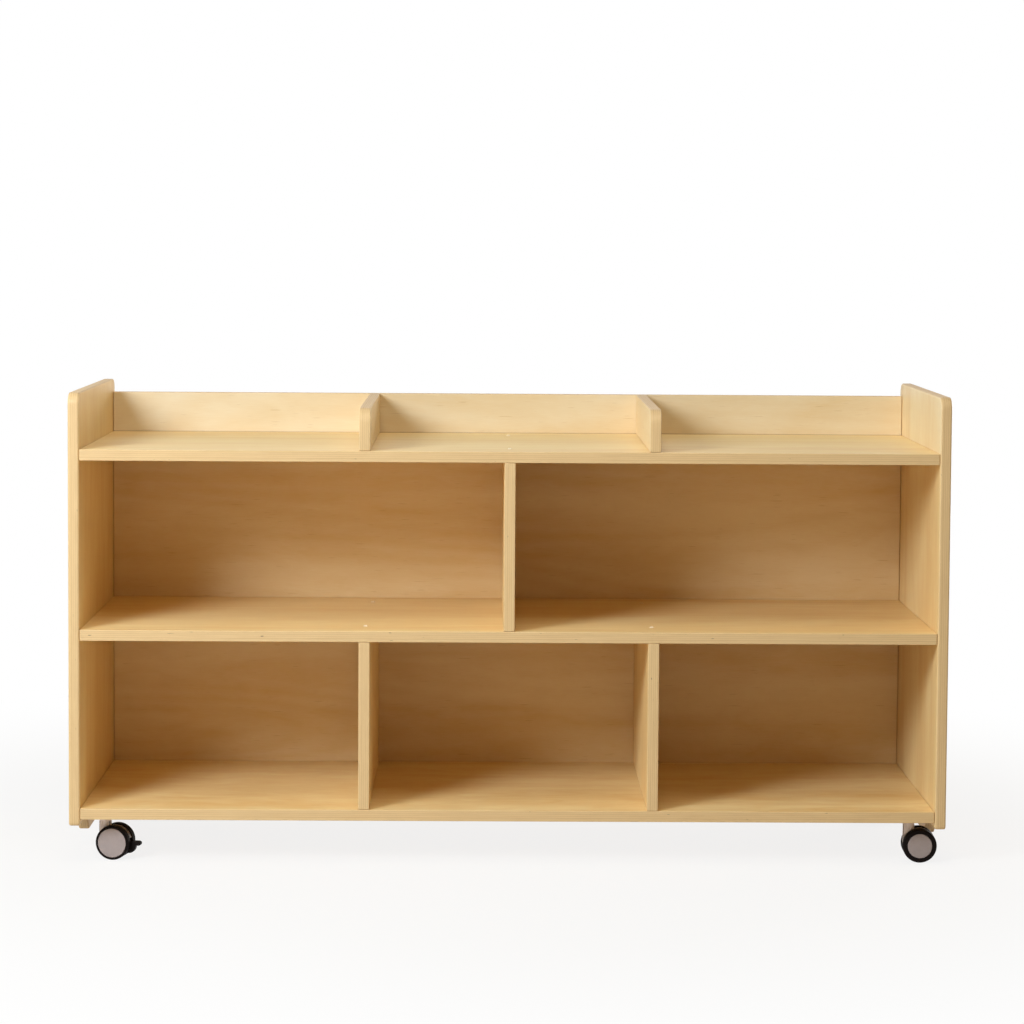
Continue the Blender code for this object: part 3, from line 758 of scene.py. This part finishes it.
def board(node, thin):
    """A board as a slab: its outline lies in the plane of the two axes after the thin one."""
    low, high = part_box(node)
    if node == "back_panel":
        low[X] -= BACK_GROWTH
        high[X] += BACK_GROWTH
    if node in ("top_shelf", "middle_shelf"):
        high[Y] -= JOINT_LINE
    u, v = (thin + 1) % 3, (thin + 2) % 3
    is_side = node.startswith("side_panel")
    points, normals = side_outline(low, high) if is_side else board_outline(node, low, high, u, v)
    half = (high[thin] - low[thin]) / 2
    rings, edge = slab_rings(points, normals, half, SIDE_EASE if is_side else BOARD_EASE)
    placed = np.empty_like(rings)
    placed[..., u] = rings[..., 0]
    placed[..., v] = rings[..., 1]
    placed[..., thin] = rings[..., 2] + (low[thin] + high[thin]) / 2
    return piece_from_rings(f"{node}_board", placed, masks={"edge": edge})


def screw_place(node):
    """The middle of a screw's upper end."""
    low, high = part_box(node)
    return np.array(((low[X] + high[X]) / 2, (low[Y] + high[Y]) / 2, high[Z]))


def screw(node):
    """A countersunk screw: a low dome with a cross-shaped recess, a cone, a shank and a point. The dome falls
    with the square of the radius. The recess is a cross of two arms, whose walls slope down to its floor."""
    rim = arc((SCREW_HEAD - SCREW_RIM, -SCREW_RIM), SCREW_RIM, -QUARTER / 2, QUARTER, SCREW_RIM_STEPS)
    cone = SCREW_HEAD - SCREW_SHANK
    below = [(SCREW_POINT, -SCREW_LENGTH), (SCREW_SHANK, SCREW_TIP - SCREW_LENGTH), (SCREW_SHANK, -cone)]
    radius = np.linspace(SCREW_HEAD - 2 * SCREW_RIM, SCREW_MIDDLE, SCREW_FACE_STEPS)
    face = np.column_stack((radius, SCREW_DOME * (1 - (radius / radius[0]) ** 2)))
    rings = turned_rings(np.concatenate((below, rim, face)))
    plan = np.abs(rings[..., :2])
    arm = np.maximum(plan[..., 0] - CROSS_WIDTH, plan[..., 1] - CROSS_REACH)
    other_arm = np.maximum(plan[..., 1] - CROSS_WIDTH, plan[..., 0] - CROSS_REACH)
    share = np.clip(-np.minimum(arm, other_arm) / CROSS_SLOPE, 0, 1)
    rings[-SCREW_FACE_STEPS:, :, 2] -= CROSS_DEPTH * share[-SCREW_FACE_STEPS:]
    return piece_from_rings(f"{node}_turned", rings + screw_place(node))


def countersink(node):
    """The hole round a screw: its cone and shank with a clearance, carried on above the face."""
    head = SCREW_HEAD + SCREW_FIT
    shank = SCREW_SHANK + SCREW_FIT
    profile = [
        (shank, -SCREW_LENGTH),
        (shank, shank - head),
        (head, 0.0),
        (head, head),
    ]
    return piece_from_rings(f"{node}_hole", turned_rings(profile) + screw_place(node))


# Casters


class Swivel:
    """One caster's frame, read from its joints: a point (along, across, up) is measured from the swivel axis
    at floor level, along the trail, along the axle and upwards."""

    def __init__(self, name):
        joints = {joint["name"]: joint for joint in frame["joints"]}
        self.name = name
        self.foot = np.array((*joints[f"{name}_swivel"]["pos_m"][:2], 0.0))
        spin = joints[f"{name}_outer_wheel_spin"]
        self.across = np.array(spin["axis"], dtype=float)
        self.along = np.array((self.across[1], -self.across[0], 0.0))
        axle = np.array(spin["pos_m"]) - self.foot
        self.axle = np.array((axle @ self.along, 0.0, axle[2]))
        self.braked = f"{name}_brake" in joints
        if self.braked:
            pin = np.array(joints[f"{name}_brake"]["pos_m"]) - self.foot
            self.pin = np.array((pin @ self.along, 0.0, pin[2]))

    def place(self, points):
        """Points of this frame in the part's frame."""
        up = np.array((0.0, 0.0, 1.0))
        along, across, height = points[..., :1], points[..., 1:2], points[..., 2:]
        return self.foot + along * self.along + across * self.across + height * up

    def upright(self, name, profile):
        """A shape turned about the swivel axis."""
        return piece_from_rings(f"{self.name}_{name}", self.place(turned_rings(profile)))

    def about(self, name, centre, profile, closed=False, flip=False):
        """A shape turned about a line along the axle through centre. Height is measured across, to the other
        side where it is flipped."""
        rings = turned_rings(profile)
        side = -1.0 if flip else 1.0
        local = np.stack((rings[..., 0], side * rings[..., 2], -side * rings[..., 1]), axis=-1) + centre
        return piece_from_rings(f"{self.name}_{name}", self.place(local), closed)

    def slab(self, name, outline, half, ease, centre):
        """An outline in the plane of along and up, made a slab across."""
        rings, _ = slab_rings(outline, outline_normals(outline), half, ease, ease / 2)
        local = np.stack((rings[..., 0], -rings[..., 2], rings[..., 1]), axis=-1) + centre
        return piece_from_rings(f"{self.name}_{name}", self.place(local))


def tyre_profile(radius, tread):
    """A closed section: bore, flat sides, and rounded shoulders to a slightly crowned tread."""
    inside = WHEEL_GAP / 2
    outside = inside + WHEEL_WIDTH
    shoulder = min(SHOULDER, SHOULDER_SHARE * tread)
    bore = radius - tread
    inner = arc((radius - shoulder, inside + shoulder), shoulder, -QUARTER, 0, SHOULDER_STEPS)
    outer = arc((radius - shoulder, outside - shoulder), shoulder, 0, QUARTER, SHOULDER_STEPS)
    return np.concatenate(([(bore, inside)], inner, outer, [(bore, outside)]))


def core_profile(radius):
    """A closed section: a cup whose rim and hub stand on a disc at its inner side."""
    inside = WHEEL_GAP / 2
    outside = inside + WHEEL_WIDTH
    floor = inside + WEB
    hub_end = inside + HUB_LENGTH
    bore = AXLE_RADIUS + AXLE_FIT
    inner_wall = radius - RIM_WALL
    low, high = inside + CORE_ROUND, floor + CORE_ROUND
    outer_edge = arc((radius - CORE_ROUND, low), CORE_ROUND, -QUARTER, 0, CORE_STEPS)
    root = arc((inner_wall - CORE_ROUND, high), CORE_ROUND, 0, -QUARTER, CORE_STEPS)
    fillet = arc((HUB_RADIUS + CORE_ROUND, high), CORE_ROUND, -QUARTER, -2 * QUARTER, CORE_STEPS)
    hub = arc((HUB_RADIUS - CORE_ROUND, hub_end - CORE_ROUND), CORE_ROUND, 0, QUARTER, CORE_STEPS)
    return np.concatenate((
        [(bore, inside)],
        outer_edge,
        [(radius, outside), (inner_wall, outside)],
        root,
        fillet,
        hub,
        [(bore, hub_end)],
    ))


def cap_profile(radius):
    """A cover disc with a rounded rim and a low crown: its height falls with the square of the radius."""
    face = WHEEL_GAP / 2 + WHEEL_WIDTH
    back = face - CAP_THICKNESS
    reach = np.linspace(radius - CAP_ROUND, CAP_MIDDLE, CAP_CROWN_STEPS)
    crown = CAP_CROWN * (1 - (reach / (radius - CAP_ROUND)) ** 2)
    rim = arc((radius - CAP_ROUND, face - CAP_ROUND), CAP_ROUND, 0, QUARTER, CAP_ROUND_STEPS)
    dome = np.column_stack((reach, face + crown))
    return np.concatenate(([(CAP_MIDDLE, back), (radius, back)], rim, dome[1:]))


def hood_outline(radius, trail):
    """The housing's side view about the axle, in three stretches: an arc inside the tyre's radius, the neck's
    root and the axle's boss."""
    rim = radius - HOOD_STEP
    rear = NECK_RADIUS - trail
    nose = -NECK_RADIUS - trail
    root = radius + WHEEL_ROOM + NECK_ROOT
    hood = arc((0, 0), rim, HOOD_REAR, math.acos(rear / rim), HOOD_STEPS)
    boss = arc((0, 0), BOSS_RADIUS, *BOSS_ARC, BOSS_STEPS)
    return hood, np.array([(rear, root), (nose, root), (nose, -HOOD_NOSE)]), boss


def housing(swivel, radius, pivot):
    """The hood between the wheels with the round cheeks of the brake's pin, the round neck that the wheels
    cut into, and the holes for stem, axle and brake."""
    trail = swivel.axle[0]
    hood, neck_root, boss = hood_outline(radius, trail)
    cheek = arc(pivot, CHEEK_RADIUS, *CHEEK_ARC, CHEEK_STEPS)
    outline = np.concatenate((hood, neck_root, boss, cheek))
    half = WHEEL_GAP / 2 - HOOD_SIDE_GAP
    centre = (NECK_RADIUS - NECK_ROUND, NECK_TOP - NECK_ROUND)
    top_edge = arc(centre, NECK_ROUND, 0, QUARTER, NECK_ROUND_STEPS)
    neck = np.concatenate(([(NECK_RADIUS, swivel.axle[2] + NECK_FOOT)], top_edge))
    piece = swivel.upright("housing_shell", neck)
    room = [(radius + WHEEL_ROOM, half - WEB_STEP), (radius + WHEEL_ROOM, half + NECK_RADIUS)]
    for flip in (False, True):
        combine(piece, swivel.about("room", swivel.axle, room, flip=flip), "DIFFERENCE")
    combine(piece, swivel.slab("hood", outline, half, HOOD_EASE, swivel.axle), "UNION")
    wide = STEM_RADIUS + COLLAR_GAP
    stem_hole = swivel.upright("stem_hole", [(wide, NECK_TOP - STEM_IN_NECK), (wide, NECK_TOP + wide)])
    combine(piece, stem_hole, "DIFFERENCE")
    bore = AXLE_RADIUS + AXLE_FIT
    axle_hole = swivel.about("bore", swivel.axle, [(bore, -2 * half), (bore, 2 * half)])
    combine(piece, axle_hole, "DIFFERENCE")
    if swivel.braked:
        gap = CHEEK_RADIUS + CHEEK_GAP
        slot = LUG_HALF + FORK_FIT
        combine(piece, swivel.about("fork", swivel.pin, [(gap, -slot), (gap, slot)]), "DIFFERENCE")
    return piece


def pedal(swivel):
    """The brake's pedal about its pin: a round-ended tongue over a round belly, hollowed round the cheeks,
    and a lug in the fork."""
    inner = CHEEK_RADIUS + CHEEK_GAP
    tip = TONGUE_THICKNESS / 2
    underside = TONGUE_TOP - TONGUE_THICKNESS
    lobe_end = math.asin((underside + LOBE_DOWN) / LOBE_RADIUS)
    outline = np.concatenate((
        arc((0, 0), inner, math.asin(TONGUE_TOP / inner), PEDAL_HEEL, HEEL_STEPS),
        arc((LOBE_BACK, -LOBE_DOWN), LOBE_RADIUS, LOBE_START, lobe_end, LOBE_STEPS),
        arc((TONGUE_REACH - tip, TONGUE_TOP - tip), tip, -QUARTER, QUARTER, TONGUE_STEPS),
    ))
    half = WHEEL_GAP / 2 - PEDAL_SIDE_GAP
    piece = swivel.slab("pedal_lever", outline, half, PEDAL_EASE, swivel.pin)
    eye = arc((0, 0), LUG_RADIUS, *LUG_ARC, LUG_STEPS)
    root = arc((0, 0), inner + LUG_HALF, *LUG_ROOT_ARC, LUG_ROOT_STEPS)
    lug = swivel.slab("lug", np.concatenate((eye, root)), LUG_HALF, AXLE_FIT, swivel.pin)
    combine(piece, lug, "UNION")
    return piece


def stem_profile(shelf):
    """A round stem from inside the neck up into the shelf, with a collar between them."""
    collar_low = NECK_TOP + COLLAR_GAP
    collar_high = shelf - COLLAR_GAP
    return [
        (STEM_RADIUS, NECK_TOP - STEM_IN_NECK),
        (STEM_RADIUS, collar_low),
        (NECK_RADIUS - AXLE_FIT, collar_low),
        (NECK_RADIUS, collar_low + AXLE_FIT),
        (NECK_RADIUS, collar_high),
        (STEM_RADIUS, collar_high),
        (STEM_RADIUS, shelf + STEM_REACH),
    ]


def wheels(swivel, finishes):
    """A caster's two wheels: a tyre, a core and a cap each."""
    radius = swivel.axle[2]
    tread = TREAD_BRAKED if swivel.braked else TREAD_PLAIN
    core_radius = radius - tread - SEAM
    shapes = {
        "tyre": (tyre_profile(radius, tread), True, "rubber"),
        "wheel_core": (core_profile(core_radius), True, "black_plastic"),
        "cap": (cap_profile(core_radius - RIM_WALL - SEAM), False, "grey_cap"),
    }
    for place in ("outer", "inner"):
        wheel = f"{swivel.name}_{place}"
        tyre_low, tyre_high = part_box(f"{wheel}_tyre")
        middle = np.array((tyre_low + tyre_high) / 2) - swivel.foot
        flip = middle @ swivel.across < 0
        for kind, (profile, closed, slot) in shapes.items():
            piece = swivel.about(f"{place}_{kind}_turned", swivel.axle, profile, closed, flip)
            keep(piece, f"{wheel}_{kind}", f"{wheel}_wheel", finishes[slot])


def caster(name, skin, finishes):
    """One caster. Its housing has the brake's cheeks where the front left one has its pin, braked or not."""
    swivel = Swivel(name)
    body = f"{name}_caster"
    steel = finishes["steel"]
    front_left = Swivel("front_left")
    pivot = (front_left.pin - front_left.axle)[[0, 2]]
    # The housing's finish paints shade on the hood and light on the neck
    housing_with_painted_light = moulded_finish(f"grey_plastic_{name}", skin, *HOOD_PAINTED_SHADE_PLASTIC, neck=swivel.foot)
    keep(housing(swivel, swivel.axle[2], pivot), f"{name}_housing", body, housing_with_painted_light)
    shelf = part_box("bottom_shelf")[0][Z]
    stem = swivel.upright("stem_turned", stem_profile(shelf))
    keep(stem, f"{name}_stem", "carcass", steel)
    half_axle = WHEEL_GAP / 2 + HUB_LENGTH - AXLE_END
    axle = swivel.about("axle_turned", swivel.axle, [(AXLE_RADIUS, -half_axle), (AXLE_RADIUS, half_axle)])
    keep(axle, f"{name}_axle", body, steel)
    wheels(swivel, finishes)
    if swivel.braked:
        black = finishes["black_plastic"]
        keep(pedal(swivel), f"{name}_brake_pedal", f"{name}_pedal", black)
        reach = WHEEL_GAP / 2 - HOOD_SIDE_GAP - PIN_END
        pin = swivel.about("pin_turned", swivel.pin, [(PIN_RADIUS, -reach), (PIN_RADIUS, reach)])
        keep(pin, f"{name}_brake_pin", body, steel)


# Stage

KEY_WHITE = (0.88, 1.0, 1.15)
COOL_WHITE = (0.90, 1.0, 1.06)
SOFT_WHITE = (1.0, 0.98, 0.88)
WARM_WHITE = (1.0, 0.94, 0.86)

# Disc lamps: place, diameter, power in watts and colour
LAMPS = {
    "key": ((-1.50, -1.88, 1.51), 0.9, 53.0, KEY_WHITE),
    "low_left": ((-2.27, -2.62, 0.59), 1.0, 4.0, COOL_WHITE),
    "top": ((0.0, -1.2, 2.8), 1.5, 24.0, SOFT_WHITE),
    "rear": ((2.2, 2.3, 0.55), 1.2, 46.0, WARM_WHITE),
}
AIM = (0.0, -0.1, 0.35)
AMBIENT = 0.12
AMBIENT_COLOUR = (1.12, 0.98, 0.66, 1)  # what the room gives back is warmer
FLOOR_REACH = 6.0
FLOOR_MIDDLE = 0.05  # radius of the innermost ring
FLOOR_RINGS = 12
FLOOR_SIDES = 64
FLOOR_COLOUR = (0.76, 0.70, 0.62, 1)
FLOOR_ROUGHNESS = 0.9
FLOOR_WHITE = 0.84  # share of plain white near the object, where its shadow lies
FADE = (0.55, 1.5)  # from the middle, where the floor turns into plain white


def seen_directly(wire):
    """1 for rays from the camera, off gloss or through glass, which see the plain white surroundings."""
    path = wire.node("ShaderNodeLightPath")
    seen = wire.math("ADD", path.outputs["Is Camera Ray"], path.outputs["Is Glossy Ray"], clamp=True)
    return wire.math("ADD", seen, path.outputs["Is Transmission Ray"], clamp=True)


def surroundings():
    """A white room, which gives a dimmer and warmer ambient light."""
    world = bpy.data.worlds.new("studio")
    world.use_nodes = True
    bpy.context.scene.world = world
    wire = Wiring(world.node_tree)
    out = world.node_tree.nodes["World Output"]
    ambient = world.node_tree.nodes["Background"]
    ambient.inputs["Color"].default_value = AMBIENT_COLOUR
    ambient.inputs["Strength"].default_value = AMBIENT
    white = wire.node("ShaderNodeBackground", Color=WHITE, Strength=1.0)
    mix = wire.node("ShaderNodeMixShader")
    wire.put(mix.inputs[0], seen_directly(wire))
    wire.put(mix.inputs[1], ambient.outputs[0])
    wire.put(mix.inputs[2], white.outputs[0])
    wire.put(out.inputs["Surface"], mix.outputs[0])


def floor():
    """A flat pale sheet under the wheels, of rings that widen outwards. Seen directly it is nearly white,
    with the object's shadow on it, and from below it is clear."""
    reach = np.geomspace(FLOOR_REACH, FLOOR_MIDDLE, FLOOR_RINGS)
    rings = turned_rings(np.column_stack((reach, np.zeros_like(reach))), FLOOR_SIDES)
    sheet = piece_from_rings("studio_floor", rings, sheet=True)
    material, shader, wire = new_finish("studio_floor")
    shader.inputs["Base Color"].default_value = FLOOR_COLOUR
    shader.inputs["Roughness"].default_value = FLOOR_ROUGHNESS
    white = wire.node("ShaderNodeEmission", Color=WHITE, Strength=1.0)
    away = wire.node("ShaderNodeVectorMath", {"operation": "LENGTH"})
    wire.put(away.inputs[0], wire.node("ShaderNodeTexCoord").outputs["Object"])
    share = wire.ramp(away.outputs["Value"], *FADE, start=FLOOR_WHITE)
    mix = wire.node("ShaderNodeMixShader")
    wire.put(mix.inputs[0], wire.times(seen_directly(wire), share))
    wire.put(mix.inputs[1], shader.outputs[0])
    wire.put(mix.inputs[2], white.outputs[0])
    both = wire.node("ShaderNodeMixShader")
    wire.put(both.inputs[0], wire.node("ShaderNodeNewGeometry").outputs["Backfacing"])
    wire.put(both.inputs[1], mix.outputs[0])
    wire.put(both.inputs[2], wire.node("ShaderNodeBsdfTransparent").outputs[0])
    wire.put(material.node_tree.nodes["Material Output"].inputs["Surface"], both.outputs[0])
    sheet.data.materials.append(material)


def lamp(name, place, size, power, colour):
    """A disc lamp that points at the object."""
    light = bpy.data.lights.new(name, "AREA")
    light.shape = "DISK"
    light.size = size
    light.energy = power
    light.color = colour
    holder = bpy.data.objects.new(name, light)
    holder.location = place
    holder.rotation_euler = (Vector(AIM) - Vector(place)).to_track_quat("-Z", "Y").to_euler()
    bpy.context.scene.collection.objects.link(holder)


def camera():
    """The photograph's camera: pitched down, turned to the right and rolled, with a shifted lens."""
    lens = bpy.data.cameras.new("camera")
    lens.sensor_width = SENSOR
    lens.lens = FOCAL_PIXELS / PHOTO_SIDE * SENSOR
    lens.shift_y = LENS_SHIFT
    holder = bpy.data.objects.new("camera", lens)
    turn = Matrix.Rotation(-CAMERA_YAW, 3, "Z") @ Matrix.Rotation(QUARTER - CAMERA_PITCH, 3, "X")
    turn = turn @ Matrix.Rotation(CAMERA_ROLL, 3, "Z")
    holder.matrix_world = Matrix.Translation(CAMERA_PLACE) @ turn.to_4x4()
    bpy.context.scene.collection.objects.link(holder)
    bpy.context.scene.camera = holder


def carcass():
    """Every board, by its node."""
    veneer = veneer_group()
    edge = edge_group(PLIES)
    pieces = {}
    for number, (node, (thin, grain)) in enumerate(BOARDS.items(), start=1):
        pieces[node] = board(node, thin)
        birch = birch_finish(node, number, thin, grain, veneer, edge)
        keep(pieces[node], node, "carcass", birch)
    return pieces


def screws(boards, zinc):
    """Every screw, in a countersink in its shelf. The shelf's finish is given again after the cut."""
    for node in sorted(frame["nodes"]):
        if "_screw_" not in node:
            continue
        shelf = boards[node.split("_screw_")[0]]
        birch = shelf.data.materials[0]
        combine(shelf, countersink(node), "DIFFERENCE")
        shelf.data.materials.clear()
        shelf.data.materials.append(birch)
        keep(screw(node), node, "carcass", zinc)


def main():
    bpy.context.scene.view_settings.view_transform = "Standard"
    skin = moulded_group()
    finishes = {name: moulded_finish(name, skin, *values) for name, values in MOULDED.items()}
    finishes["steel"] = metal_finish("steel", *STEEL)
    screws(carcass(), metal_finish("zinc", *ZINC))
    for name in CASTERS:
        caster(name, skin, finishes)
    surroundings()
    floor()
    for name, settings in LAMPS.items():
        lamp(name, *settings)
    camera()


main()
